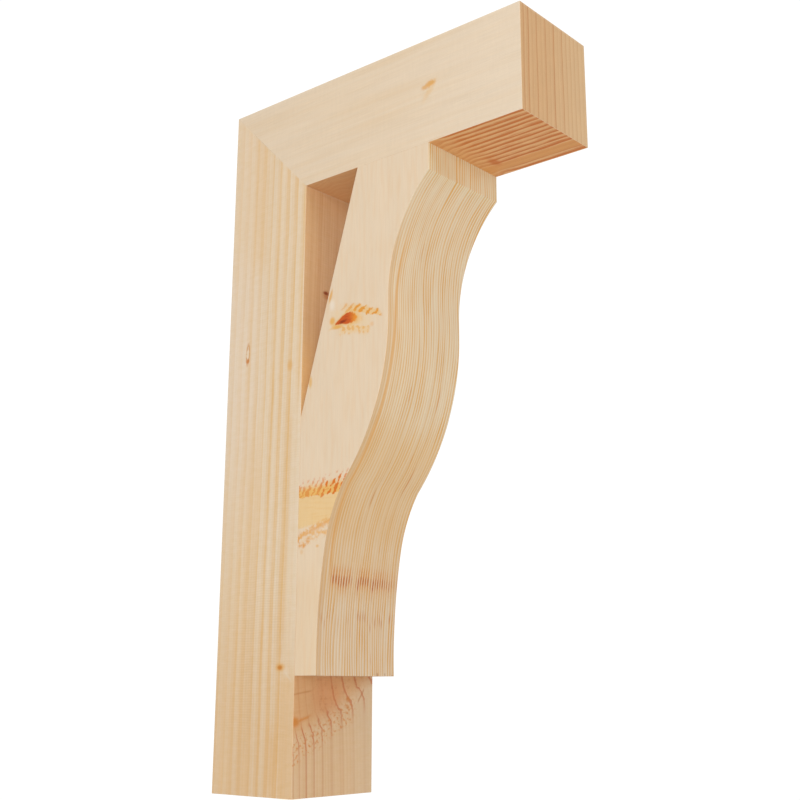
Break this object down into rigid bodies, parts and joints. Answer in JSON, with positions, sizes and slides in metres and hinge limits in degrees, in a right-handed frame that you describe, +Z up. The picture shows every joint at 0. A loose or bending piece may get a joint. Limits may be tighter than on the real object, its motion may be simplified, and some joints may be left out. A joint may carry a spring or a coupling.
{
  "type": "timber corbel bracket",
  "caption": "Softwood timber bracket with a post, a mitred level arm and a sawn scroll brace, which is fixed to a wall and carries a shelf, mantel, worktop or eave.",
  "frame": {"origin": "centre of the wall face, on the back of the post", "axes": "+Y into the wall, out of the back of the post; -Y along the beam, away from the wall; +Z up the post; X across the width"},
  "size_m": [0.1016, 0.3556, 0.6604],
  "materials": {
    "softwood": "smooth planed, unfinished"
  },
  "bodies": {
    "root": {"post": "softwood", "beam": "softwood", "brace": "softwood"}
  },
  "joints": []
}
